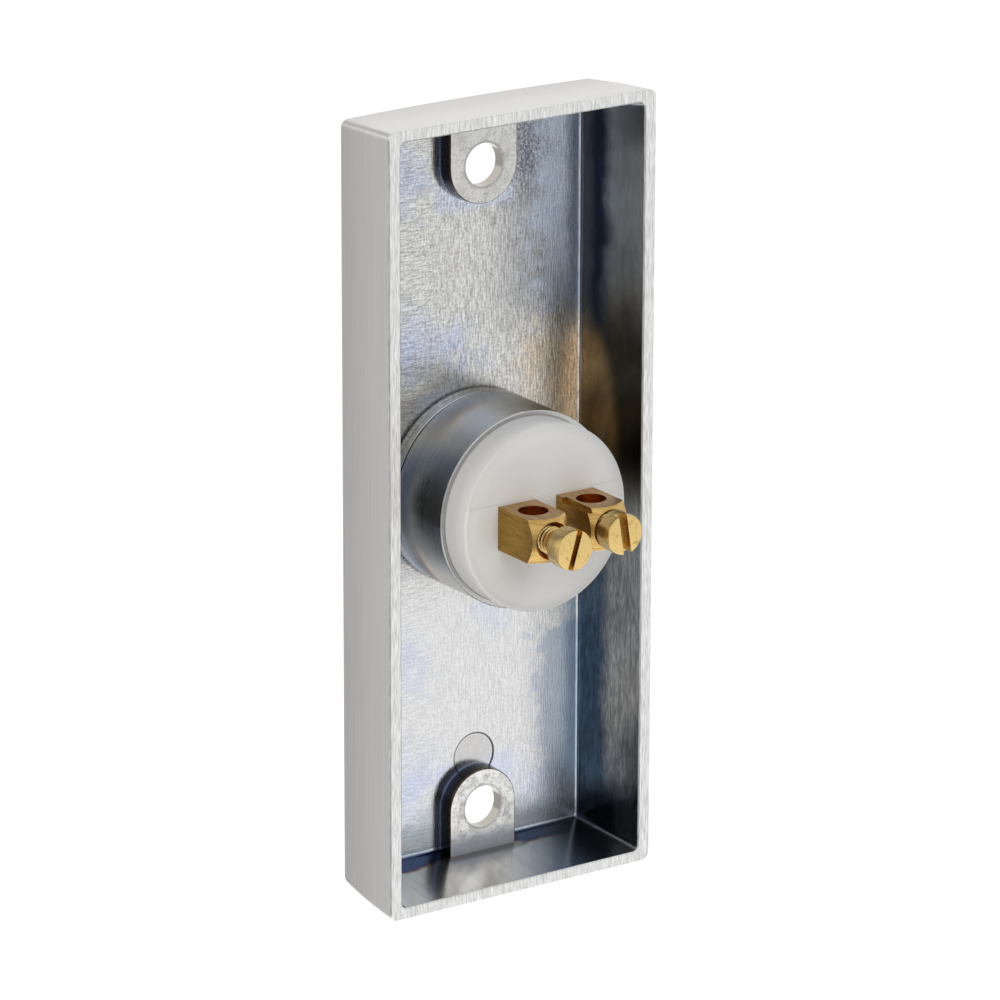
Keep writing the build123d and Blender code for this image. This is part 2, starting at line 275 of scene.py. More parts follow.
class Effects:
    """The surface effects that several finishes share, each a shader node group."""

    FILM_COLOURS: Stops = (
        (0.00, (0.66, 0.66, 0.655)),
        (0.20, (0.56, 0.57, 0.64)),
        (0.36, (0.36, 0.42, 0.58)),
        (0.50, (0.13, 0.19, 0.31)),
        (0.62, (0.030, 0.050, 0.125)),
        (0.72, (0.075, 0.045, 0.065)),
        (0.80, (0.17, 0.105, 0.055)),
        (0.90, (0.50, 0.385, 0.26)),
        (1.00, (0.62, 0.56, 0.46)),
    )

    def __init__(self) -> None:
        """Builds each group once."""
        self.brushing = self._brushing()
        self.plating = self._plating()
        self.specks = self._specks()
        self.scratches = self._scratches()

    def _brushing(self) -> bpy.types.NodeTree:
        """Fine parallel lines from stretched noise, in two widths.

        Returns:
            The group.
        """
        g, given, out = new_group("brushing", {"Vector": "Vector", "Broad": "Float"}, "Lines", "Float")
        fine = g.noise(given["Vector"], 1.0, 3.0)
        broad = g.noise(given["Vector"], given["Broad"], 1.0)
        g.put(out, g.step(g.between(0.35, fine, broad), 0.28, 0.72))
        return g.tree

    def _plating(self) -> bpy.types.NodeTree:
        """Colours of a thin plated film, from silver through blue, navy and bronze to straw.

        Returns:
            The group.
        """
        g, given, out = new_group("plating_film", {"Film": "Float"}, "Tint", "Color")
        g.put(out, g.ramp(given["Film"], self.FILM_COLOURS))
        return g.tree

    def _specks(self) -> bpy.types.NodeTree:
        """Small scattered pits or stains, as a mask.

        Returns:
            The group.
        """
        inputs = {"Vector": "Vector", "Scale": "Float", "Cover": "Float"}
        g, given, out = new_group("specks", inputs, "Mask", "Float")
        grain = g.noise(given["Vector"], given["Scale"], 4.0, 0.65)
        g.put(out, g.step(g.add(grain, given["Cover"]), 0.80, 0.98))
        return g.tree

    def _scratches(self) -> bpy.types.NodeTree:
        """Crossed short strokes from a scouring pad, as a value about one half.

        Returns:
            The group.
        """
        g, given, out = new_group("scratches", {"Vector": "Vector", "Upright": "Float"}, "Strokes", "Float")
        upright = g.noise(g.stretch(given["Vector"], (8.0, 1.0, 0.7)), 1.0, 3.0, 0.6)
        level = g.noise(g.stretch(given["Vector"], (0.7, 1.0, 7.0)), 1.0, 3.0, 0.6)
        g.put(out, g.step(g.between(given["Upright"], level, upright), 0.34, 0.66))
        return g.tree


class MaterialGraph(Graph):
    """The nodes of a new material."""

    def __init__(self, name: str) -> None:
        """Starts the material and finds its shader.

        Args:
            name: the material's name.
        """
        self.material = bpy.data.materials.new(name)
        self.material.use_nodes = True
        super().__init__(self.material.node_tree)
        self.shader = self.tree.nodes["Principled BSDF"]


@dataclass(frozen=True)
class Finish:
    """The material of one slot of the record, with the places and patterns that it is made from.

    Sizes are in millimetres, in the part's frame.
    """

    slot: ClassVar[str]
    effects: Effects

    def values(self) -> Inputs:
        """Gives the shader's values by input, which each finish works out in its own way."""
        raise NotImplementedError

    def build(self) -> bpy.types.Material:
        """Feeds the shader and gives the finished material."""
        self.g.feed(self.g.shader, self.values())
        return self.g.material

    @cached_property
    def g(self) -> MaterialGraph:
        """Starts the material, named for its slot, and gives its nodes."""
        return MaterialGraph(self.slot)

    @cached_property
    def mm(self) -> Socket:
        """Gives the object coordinates in millimetres."""
        place = self.g.node("TexCoord", {}).outputs["Object"]
        return self.g.node("VectorMath", {0: place, "Scale": 1 / MM}, operation="SCALE").outputs[0]

    @cached_property
    def place(self) -> tuple[Socket, ...]:
        """Gives the same coordinates, split into three."""
        return self.g.split(self.mm)

    @cached_property
    def normal(self) -> tuple[Socket, ...]:
        """Gives the surface normal in the part's frame, split into three."""
        return self.g.split(self.g.node("TexCoord", {}).outputs["Normal"])

    def lines(self, scale: Triple, broad: float, turn: Triple = (0, 0, 0)) -> Socket:
        """Brushes lines of a fineness along each axis, turned by degrees, some of them broader."""
        return self.g.group(self.effects.brushing, Vector=self.g.stretch(self.mm, scale, turn), Broad=broad)

    def specks(self, scale: float, cover: float) -> Socket:
        """Scatters specks of a fineness and cover over the surface."""
        return self.g.group(self.effects.specks, Vector=self.mm, Scale=scale, Cover=cover)

    def tint(self, film: Socket) -> Socket:
        """Gives the colour of a plated film."""
        return self.g.group(self.effects.plating, Film=film)

    def noise(self, scale: float, detail: float = 2.0, rough: float = 0.5) -> Socket:
        """Gives noise over the surface, as Graph.noise does."""
        return self.g.noise(self.mm, scale, detail, rough)


def scaled(colour: Colour, share: float) -> Colour:
    """Gives a share of a colour."""
    return tuple(share * value for value in colour)


def bare_metal(colour: Socket, rough: Socket, normal: Socket) -> Inputs:
    """Gives the shader's values of a bare metal."""
    return {"Base Color": colour, "Roughness": rough, "Normal": normal, "Metallic": 1.0}


@dataclass(frozen=True)
class PlatedCasing(Finish):
    """Satin plating on the casing: brushed outside, linished rim, scoured and film-tinted inside, with
    painted shade and painted reflections on the outer corners, lugs and inner walls.
    """

    slot: ClassVar[str] = "satin_chrome"
    outside: Colour = (0.76, 0.75, 0.745)
    # Painted shade: the outer faces darker towards the front edge, and a dark line down each rounded corner
    front_edge_shade: Colour = (0.84, 0.835, 0.83)
    corner_shade: Colour = (0.26, 0.255, 0.25)
    rim: Colour = (0.84, 0.84, 0.835)
    rim_mark: Colour = (0.40, 0.40, 0.395)
    silver: Colour = (0.79, 0.785, 0.755)
    pale: Colour = (0.79, 0.79, 0.79)
    lavender: Colour = (0.62, 0.68, 0.84)
    blue: Colour = (0.45, 0.51, 0.61)
    slate: Colour = (0.17, 0.19, 0.26)
    straw: Colour = (0.78, 0.65, 0.49)
    olive: Colour = (0.42, 0.49, 0.55)
    dull: Colour = (0.41, 0.42, 0.435)
    scour: Colour = (0.25, 0.25, 0.27)
    mark_face: Colour = (0.50, 0.49, 0.48)
    mark_line: Colour = (0.07, 0.07, 0.075)
    lug: Colour = (0.62, 0.615, 0.59)
    lug_low: Colour = (0.86, 0.855, 0.845)
    # Painted shade at the lower lug's foot; the pits' colour also paints shade round each hole's mouth
    lug_foot_shade: Colour = (0.27, 0.28, 0.33)
    pit_and_hole_shade: Colour = (0.24, 0.24, 0.24)
    bore: Colour = (0.52, 0.49, 0.44)
    # Side wall: painted shade by the floor, in navy and sea-blue like the plating film
    navy: Colour = (0.095, 0.118, 0.165)
    sea: Colour = (0.20, 0.30, 0.405)
    steel: Colour = (0.86, 0.865, 0.85)
    low_steel: Colour = (0.76, 0.78, 0.79)
    # Painted light and shade along the side wall: a bright reflection, shade beside the barrel's upper half,
    # shade at the lower end and shade bands by the floor
    bright_reflection: Colour = (1.0, 1.0, 0.96)
    umber_shade: Colour = (0.12, 0.12, 0.105)
    low_end_shade: Colour = (0.30, 0.31, 0.31)
    low_band_shade: Colour = (0.03, 0.045, 0.075)
    wall_foot_shade: Colour = (0.22, 0.22, 0.205)
    bronze: Colour = (0.72, 0.53, 0.31)
    # Painted shade in the side wall's corner by the lower end wall
    end_corner_shade: Colour = (0.05, 0.06, 0.08)
    wipe: Colour = (0.38, 0.38, 0.39)
    streak: Colour = (0.50, 0.51, 0.54)
    end_shade: Colour = (0.12, 0.122, 0.125)
    end_film: Stops = (
        (0.0, (0.07, 0.11, 0.22)),
        (0.18, (0.10, 0.085, 0.19)),
        (0.28, (0.38, 0.25, 0.15)),
        (0.42, (0.68, 0.675, 0.65)),
    )
    # Painted dark reflection on the lug flanks, nearly black, with film colours at their foot and top
    flank_shade_and_film: Stops = (
        (0.0, (0.16, 0.20, 0.30)),
        (0.15, (0.03, 0.035, 0.05)),
        (0.75, (0.022, 0.022, 0.022)),
        (0.92, (0.14, 0.09, 0.05)),
        (1.0, (0.30, 0.29, 0.27)),
    )
    # Centre, reach and share of each lavender patch on the floor
    lavender_patches: tuple[tuple[Pair, Pair, float], ...] = (
        ((8.0, 16.0), (6.0, 6.0), 0.9),
        ((3.0, 15.5), (5.5, 4.5), 0.9),
        ((9.0, 34.0), (4.5, 7.0), 0.8),
        ((8.0, -31.0), (6.0, 7.0), 0.9),
        ((8.0, -18.0), (4.0, 5.0), 0.6),
        ((-2.5, -13.5), (3.0, 4.0), 0.6),
        ((-7.5, -34.0), (5.0, 5.0), 0.7),
    )
    # Centre and reach of single patches, two on the floor and two on the side wall, the first of these a
    # painted bright reflection
    slate_patch: Patch = ((-6.3, 34.5), (4.5, 7.0))
    straw_patch: Patch = ((-9.5, 11.0), (6.0, 9.5))
    bright_reflection_patch: Patch = ((-24.0, -3.0), (11.0, 9.0))
    bronze_patch: Patch = ((3.0, -9.2), (17.5, 7.5))
    # Where a mask rises from nought to one along an axis, for the parts of the casing
    rim_y: Pair = (-0.30, -0.12)
    below_rim_y: Pair = (-2.0, -4.0)
    beside_lug_x: Pair = (5.4, 4.3)
    beside_lug_y: Pair = (-5.6, -6.6)
    beside_lug_z: Pair = (28.9, 30.2)
    upright_stroke_x: Pair = (10.0, 0.0)
    front_edge_shade_y: Pair = (-1.0, -11.0)
    # The same for the floor and the lugs
    pale_z: Pair = (-4.0, -14.0)
    dull_x: Pair = (0.5, -8.0)
    dull_z: Pair = (13.0, 21.0)
    lavender_x: Pair = (8.5, 12.5)
    blue_x: Pair = (-6.5, -9.0)
    upper_blue_z: Pair = (15.5, 18.5)
    lower_blue_z: Pair = (-16.0, -18.0)
    olive_z: Pair = (-33.5, -38.0)
    lug_low_z: Pair = (5.0, -5.0)
    lug_foot_shade_z: Pair = (-36.2, -38.4)
    # The same for the side wall and the end wall
    sea_z: Pair = (-2.0, -14.0)
    umber_shade_z: Pair = (27.0, 14.0)
    bright_reflection_z: Pair = (31.0, 36.0)
    low_end_shade_z: Pair = (-32.0, -38.0)
    below_barrel_z: Pair = (4.0, -8.0)
    low_band_shade_z: Pair = (6.0, 14.0)
    wall_foot_shade_z: Pair = (4.0, 12.0)
    end_corner_shade_z: Pair = (-32.5, -37.0)
    end_shade_x: Pair = (-4.0, -11.5)
    wall_at_rim: float = 15.4
    wall_lean: float = 0.132
    end_at_rim: float = 40.9
    end_lean: float = 0.13
    floor_y: float = FLOOR_Y
    lug_y: float = -7.1
    hole_z: float = 34.4
    hole_r: float = 2.25
    mark_z: float = -29.3
    mark_r: float = 2.45
    grain_depth: float = 0.007

    def values(self) -> Inputs:
        """Works out the finish.

        Returns:
            The shader's values by input.
        """
        g = self.g
        x, y, z = self.place
        ny = self.normal[1]
        far_x, far_z = g.unsigned(x), g.unsigned(z)
        in_x = g.math("LESS_THAN", far_x, g.add(g.times(y, self.wall_lean), self.wall_at_rim))
        in_z = g.math("LESS_THAN", far_z, g.add(g.times(y, self.end_lean), self.end_at_rim))
        above = g.math("GREATER_THAN", y, self.floor_y - 0.25)
        inside = g.times(in_x, in_z, above, g.step(ny, -0.3, -0.1))
        level = g.step(ny, 0.80, 0.95)
        low = g.step(y, self.lug_y - 0.6, self.lug_y - 1.2)
        floor = g.times(inside, level, low)
        lug = g.times(inside, level, g.invert(low), g.step(y, *self.below_rim_y))
        rim = g.step(y, *self.rim_y)
        near_lug = g.times(
            g.step(far_x, *self.beside_lug_x),
            g.step(far_z, *self.beside_lug_z),
            g.step(y, *self.beside_lug_y),
        )
        from_hole = g.length(x, g.minus(far_z, self.hole_z))
        bore = g.times(g.step(from_hole, self.hole_r + 0.2, self.hole_r + 0.1), g.step(ny, 0.9, 0.7))
        upright = g.step(x, *self.upright_stroke_x)
        strokes = g.group(self.effects.scratches, Vector=self.mm, Upright=upright)

        colour = g.mix(inside, self._outside(), self._walls(near_lug))
        colour = g.mix(floor, colour, self._floor(near_lug, strokes))
        colour = g.mix(lug, colour, self._lug_face(from_hole))
        colour = g.mix(bore, colour, self.bore)
        rim_lines = self.lines((7.0, 0.5, 0.7), 0.5, (0, 13, 0))
        colour = g.mix(rim, colour, g.mix(g.times(rim_lines, 0.7), self.rim, self.rim_mark))

        rough = g.between(inside, 0.36, 0.18)
        scoured = g.span(self.noise(1.6, 5.0, 0.65), 0.14, 0.28)
        rough = g.between(floor, rough, g.between(near_lug, scoured, 0.10))
        rough = g.between(lug, rough, 0.38)
        rough = g.between(rim, rough, 0.42)

        inner = g.between(0.5, strokes, self.noise(3.2, 3.0, 0.6))
        inner = g.between(g.larger(floor, lug), 0.5, inner)
        outer = self.lines((0.12, 9.0, 0.12), 0.6)
        height = g.between(inside, g.span(outer, 0.3, 0.7), inner)
        height = g.between(rim, height, rim_lines)
        return bare_metal(colour, rough, g.bump(height, self.grain_depth))

    def _outside(self) -> Socket:
        """Colours the brushed outer faces.

        Returns:
            The colour: lines along each face, upright on the front, with painted shade towards the front edge
                and a painted shade line down each rounded corner.
        """
        g = self.g
        y = self.place[1]
        nx, ny, nz = self.normal
        sides = self.lines((0.10, 8.0, 0.10), 0.6)
        front = self.lines((5.0, 0.5, 0.10), 0.3)
        lines = g.between(g.step(ny, -0.6, -0.9), sides, front)
        colour = g.mix(lines, scaled(self.outside, 0.90), self.outside)
        # Painted shade: the outer faces darken towards the front edge
        colour = g.mix(g.step(y, *self.front_edge_shade_y), colour, self.front_edge_shade, Blend.DARKEN)
        # Painted shade: a dark line down each rounded corner, standing for its shaded edge
        corner = g.step(g.unsigned(g.times(nx, nz)), 0.40, 0.49)
        return g.mix(g.times(corner, 0.55), colour, self.corner_shade)

    def _floor(self, near_lug: Socket, strokes: Socket) -> Socket:
        """Colours the scoured floor.

        Args:
            near_lug: mask of the places beside a lug.
            strokes: the scouring strokes.

        Returns:
            The colour: silver above the barrel, paler below it, with films, a straw patch and a round mark.
        """
        g = self.g
        x, _, z = self.place
        drift = g.times(g.minus(self.noise(0.16, 4.0, 0.6), 0.5), 8.0)
        small = g.times(g.minus(self.noise(0.5, 4.0, 0.65), 0.5), 6.0)
        xd, zd = g.add(x, drift, small), g.add(z, drift, small)
        lower = g.step(z, *self.pale_z)
        colour = g.mix(lower, self.silver, self.pale)
        colour = g.mix(g.times(g.step(x, *self.dull_x), g.step(z, *self.dull_z)), colour, self.dull)

        film = g.times(g.step(xd, *self.lavender_x), 0.7)
        for centre, reach, share in self.lavender_patches:
            film = g.larger(film, g.times(g.blob(xd, zd, centre, reach), share))
        colour = g.mix(g.larger(film, g.times(near_lug, 0.7)), colour, self.lavender)
        ends = g.larger(g.step(zd, *self.upper_blue_z), g.step(zd, *self.lower_blue_z))
        strip = g.times(g.step(xd, *self.blue_x), ends)
        colour = g.mix(g.times(strip, 0.9), colour, self.blue)
        grain = self.noise(3.4, 4.0, 0.7)
        dark = g.times(g.blob(xd, zd, *self.slate_patch), g.step(grain, 0.66, 0.40))
        colour = g.mix(dark, colour, self.slate)
        colour = g.mix(g.times(g.step(zd, *self.olive_z), 0.8), colour, self.olive)
        colour = g.mix(g.times(g.blob(xd, zd, *self.straw_patch), 0.95), colour, self.straw)

        wear = g.between(0.4, strokes, g.step(grain, 0.36, 0.64))
        depth = g.times(g.between(lower, 0.85, 0.42), g.span(strip, 1.0, 0.6))
        colour = g.mix(g.times(g.invert(wear), depth), colour, self.scour, Blend.DARKEN)
        away = g.length(x, g.minus(z, self.mark_z))
        line = g.step(g.unsigned(g.minus(away, self.mark_r)), 0.14, 0.05)
        disc = g.times(g.step(away, self.mark_r, self.mark_r - 0.3), 0.6)
        return g.mix(g.times(line, 0.9), g.mix(disc, colour, self.mark_face), self.mark_line)

    def _lug_face(self, from_hole: Socket) -> Socket:
        """Colours the bead-blasted faces of the two screw lugs.

        Args:
            from_hole: distance from the axis of the nearer hole.

        Returns:
            The colour, with painted shade round each hole's mouth and at the lower lug's foot by the lower
            end wall.
        """
        g = self.g
        z = self.place[2]
        colour = g.mix(g.step(z, *self.lug_low_z), self.lug, self.lug_low)
        cloud = g.step(self.noise(0.8, 4.0, 0.65), 0.40, 0.75)
        colour = g.mix(cloud, colour, scaled(self.lug, 0.72))
        colour = g.mix(g.times(self.specks(3.4, 0.30), 0.6), colour, self.pit_and_hole_shade)
        # Painted shade: a dark ring round the hole's mouth, in the same colour as the real pits
        lip = g.times(g.step(from_hole, self.hole_r + 0.35, self.hole_r + 0.15), 0.5)
        colour = g.mix(lip, colour, self.pit_and_hole_shade)
        # Painted shade at the foot of the lower lug, by the lower end wall
        return g.mix(g.times(g.step(z, *self.lug_foot_shade_z), 0.9), colour, self.lug_foot_shade)

    def _walls(self, near_lug: Socket) -> Socket:
        """Colours the inner walls.

        Args:
            near_lug: mask of the places beside a lug.

        Returns:
            The colour of whichever wall or lug flank it is.
        """
        g = self.g
        nx, _, nz = self.normal
        cloud = g.minus(self.noise(0.22, 4.0, 0.65), 0.5)
        height = g.add(g.math("DIVIDE", self.place[1], -self.floor_y), 1.0)
        soft = g.add(height, g.times(cloud, 0.30))
        # Plating film by height, darkening to navy by the floor: partly film colour, partly painted shade of
        # the hollow
        colour = self.tint(g.add(g.times(soft, -0.5), 0.62))
        # Lug flanks: painted dark reflection, with film colours at both ends
        colour = g.mix(near_lug, colour, g.ramp(g.times(height, 5.0), self.flank_shade_and_film))
        clear = g.invert(near_lug)
        colour = g.mix(g.times(g.step(nx, 0.5, 0.8), clear), colour, self._side_wall(cloud, soft))
        return g.mix(g.times(g.step(nz, 0.5, 0.8), clear), colour, self._end_wall(soft))

    def _side_wall(self, cloud: Socket, soft: Socket) -> Socket:
        """Colours the long wall that the photo shows.

        Args:
            cloud: soft noise about nought.
            soft: clouded height, nought at the floor and one at the rim.

        Returns:
            The colour: painted shade by the floor, tinted like the plating film, greyer by the rim, bronze
                beside the barrel, with more painted shade and painted bright reflections along the wall.
        """
        g = self.g
        _, y, z = self.place
        # Painted shade low on the wall by the floor, tinted navy and sea-blue like the plating film
        band = g.mix(g.step(z, *self.sea_z), self.navy, self.sea)
        # Painted shade beside the barrel's upper half, then steel, then a painted bright reflection towards
        # the upper end
        upper = g.mix(g.step(g.add(z, g.times(cloud, 8.0)), *self.umber_shade_z), self.steel, self.umber_shade)
        upper = g.mix(g.step(z, *self.bright_reflection_z), upper, self.bright_reflection)
        # Below the barrel: a painted bright reflection, and painted shade towards the lower end
        under = g.mix(g.blob(z, y, *self.bright_reflection_patch), self.low_steel, self.bright_reflection)
        under = g.mix(g.step(z, *self.low_end_shade_z), under, self.low_end_shade)
        below = g.step(z, *self.below_barrel_z)
        side = g.mix(g.step(soft, 0.30, 0.52), band, g.mix(below, upper, under))
        # Painted shade: a dark band low on the wall and a dark line at its foot, from the barrel's upper half
        # upward
        low_band_shade = g.times(g.step(soft, 0.14, 0.24), g.step(soft, 0.36, 0.26), g.step(z, *self.low_band_shade_z))
        side = g.mix(g.times(low_band_shade, 0.6), side, self.low_band_shade)
        wall_foot_shade = g.times(g.step(soft, 0.20, 0.08), g.step(z, *self.wall_foot_shade_z))
        side = g.mix(g.times(wall_foot_shade, 0.8), side, self.wall_foot_shade)
        arch = g.blob(g.add(z, g.times(cloud, 6.0)), y, *self.bronze_patch)
        side = g.mix(g.step(arch, 0.05, 0.35), side, self.bronze)
        # Painted shade in the lower corner by the end wall
        end_corner_shade = g.times(g.step(z, *self.end_corner_shade_z), g.step(soft, 0.75, 0.45))
        side = g.mix(end_corner_shade, side, self.end_corner_shade)
        wipe = self.lines((1.0, 5.0, 0.9), 0.3, (24, 0, 0))
        return g.mix(g.times(wipe, g.span(below, 0.4, 1.0)), side, self.wipe, Blend.DARKEN)

    def _end_wall(self, soft: Socket) -> Socket:
        """Colours the lower end wall.

        Args:
            soft: clouded height, nought at the floor and one at the rim.

        Returns:
            The colour: a thin rainbow by the floor, streaked grey above it, with painted shade at the end by
                the side wall.
        """
        g = self.g
        end = g.ramp(g.times(g.minus(soft, 0.20), 4.0), self.end_film)
        streak = self.lines((1.6, 0.2, 0.5), 0.3)
        end = g.mix(g.times(streak, 0.35), end, self.streak, Blend.DARKEN)
        # Painted shade in the corner by the side wall
        return g.mix(g.times(g.step(self.place[0], *self.end_shade_x), 0.9), end, self.end_shade)


@dataclass(frozen=True)
class TurnedBarrel(Finish):
    """Turned and plated sleeve: fine lathe rings and a heat-like film at its base, with a painted highlight,
    painted shade patches and painted shade under its skirt.
    """

    slot: ClassVar[str] = "barrel_metal"
    metal: Colour = (0.43, 0.43, 0.405)
    ring: Colour = (0.50, 0.50, 0.49)
    sheen: Colour = (0.66, 0.68, 0.69)
    # Painted shade patches on the sleeve
    sleeve_shade: Colour = (0.20, 0.20, 0.185)
    warm: Colour = (0.78, 0.72, 0.55)
    # Painted shade: near black under the skirt
    gap: Colour = (0.03, 0.03, 0.032)
    # Centre and reach of the patches around the sleeve: a painted highlight, painted shade (the upper patch
    # standing for the sleeve's reflection of the dark wall), a warm patch, and film and heat patches
    sheen_patch: Patch = ((4.0, 9.7), (4.0, 3.0))
    sleeve_shade_patches: tuple[Patch, Patch] = (((-2.0, 10.2), (4.8, 3.6)), ((10.2, -2.6), (2.5, 4.5)))
    warm_patch: Patch = ((10.8, 2.0), (4.0, 7.0))
    film_patches: tuple[Patch, Patch] = (((2.0, 11.5), (7.0, 6.0)), ((6.0, -9.0), (7.0, 6.0)))
    heat_patch: Patch = ((8.5, -7.0), (5.0, 5.0))
    upper_heat_patch: Patch = ((5.0, 10.0), (6.0, 4.0))
    # Where a mask rises from nought to one
    warm_y: Pair = (-6.4, -4.6)
    heat_y: Pair = (-3.0, -5.0)
    above_floor_y: Pair = (-9.2, -8.85)
    gap_r: float = 9.72
    base_y: float = SKIRT_Y
    rim_y: float = 0.5
    front_y: float = -10.6
    ring_depth: float = 0.002

    def values(self) -> Inputs:
        """Works out the finish.

        Returns:
            The shader's values by input.
        """
        g = self.g
        x, y, z = self.place
        rings = self.lines((0.12, 7.0, 0.12), 0.25)
        light, dark = scaled(self.metal, 1.1), scaled(self.metal, 0.68)
        colour = g.mix(g.times(rings, 0.6), light, dark)
        # Painted highlight on the sleeve
        colour = g.mix(g.times(g.blob(x, z, *self.sheen_patch), 0.9), colour, self.sheen)
        # Painted shade: darker patches, the upper one standing for the reflection of the dark wall
        sleeve_shade = g.larger(*(g.blob(x, z, *patch) for patch in self.sleeve_shade_patches))
        colour = g.mix(g.times(sleeve_shade, 0.9), colour, self.sleeve_shade)
        warm = g.times(g.blob(x, z, *self.warm_patch), g.step(y, *self.warm_y))
        colour = self._heat(g.mix(warm, colour, self.warm))

        # Painted shade: the skirt's hidden underside and the gap below it are painted near black
        under = g.step(y, self.base_y + 0.06, self.base_y)
        flat = g.step(g.unsigned(self.normal[1]), 0.8, 0.9)
        hidden = g.larger(g.step(g.length(x, z), self.gap_r + 0.02, self.gap_r), flat)
        colour = g.mix(g.times(under, hidden, g.step(y, *self.above_floor_y)), colour, self.gap)
        end = g.step(y, self.rim_y - 0.28, self.rim_y - 0.12)
        front = g.step(y, self.front_y, self.front_y - 0.8)
        colour = g.mix(g.larger(end, front), colour, self.ring)
        return bare_metal(colour, g.span(rings, 0.26, 0.33), g.bump(rings, self.ring_depth))

    def _heat(self, colour: Socket) -> Socket:
        """Lays the film over the sleeve's base.

        Args:
            colour: the metal's colour.

        Returns:
            The tinted colour.
        """
        g = self.g
        x, y, z = self.place
        cloud = self.noise(0.25, 3.0, 0.6)
        from_base = g.minus(y, self.base_y)
        rise = g.add(g.math("DIVIDE", from_base, self.rim_y - self.base_y), g.times(cloud, 0.4))
        tint = self.tint(g.add(g.times(rise, -0.9), 0.80))
        patches = g.larger(*(g.blob(x, z, *patch) for patch in self.film_patches))
        colour = g.mix(g.times(patches, g.step(rise, 0.75, 0.35), 0.35), colour, tint)
        bands = self.tint(g.add(g.times(from_base, 0.16), g.times(cloud, 0.3), 0.22))
        above = g.times(g.blob(x, z, *self.upper_heat_patch), 0.6)
        heated = g.larger(g.blob(x, z, *self.heat_patch), above)
        return g.mix(g.times(heated, g.step(y, *self.heat_y), 0.9), colour, bands)


@dataclass(frozen=True)
class MilkyNylon(Finish):
    """Moulded white plug, slightly milky, with painted tan shade near the terminals and painted shade at its
    edge beside the barrel's rim.
    """

    slot: ClassVar[str] = "white_nylon"
    white: Colour = (0.70, 0.698, 0.695)
    # Painted tan shade near the terminals, and painted shade at the edge beside the barrel's rim
    tan_shade: Colour = (0.70, 0.60, 0.48)
    edge_shade: Colour = (0.60, 0.585, 0.535)
    grime: Colour = (0.52, 0.47, 0.38)
    terminal_x: float = TERMINAL_X
    tan_shade_z: float = 0.5
    tan_shade_reach: Pair = (6.5, 5.5)
    edge_shade_from_axis: Pair = (4.5, 9.0)
    edge_shade_x: Pair = (1.0, 7.0)
    edge_r: float = 3.2
    edge_samples: int = 12
    skin_depth: float = 0.012
    specular: float = 0.25
    milkiness: float = 0.35
    milk_radius: Colour = (1.0, 0.9, 0.8)
    milk_scale: float = 1.2

    def values(self) -> Inputs:
        """Works out the finish.

        Returns:
            The shader's values by input.
        """
        g = self.g
        x, _, z = self.place
        cloud = self.noise(0.35, 3.0, 0.55)
        # Painted tan shade near the terminals
        near = g.blob(g.unsigned(x), z, (self.terminal_x, self.tan_shade_z), self.tan_shade_reach)
        colour = g.mix(g.times(near, g.span(cloud, 0.1, 0.6)), self.white, self.tan_shade)
        # Painted shade at the plug's edge beside the barrel's rim
        edge_shade = g.times(g.step(g.length(x, z), *self.edge_shade_from_axis), g.step(x, *self.edge_shade_x))
        colour = g.mix(g.times(edge_shade, g.span(cloud, 0.35, 0.75)), colour, self.edge_shade)
        colour = g.mix(g.times(self.specks(1.5, 0.12), 0.45), colour, self.grime)
        soft = g.node("Bevel", {"Radius": self.edge_r * MM}, samples=self.edge_samples).outputs[0]
        return {
            "Base Color": colour,
            "Roughness": g.span(cloud, 0.55, 0.70),
            "Normal": g.bump(self.noise(1.1, 4.0, 0.6), self.skin_depth, Normal=soft),
            "Specular IOR Level": self.specular,
            "Subsurface Weight": self.milkiness,
            "Subsurface Radius": self.milk_radius,
            "Subsurface Scale": self.milk_scale * MM,
        }


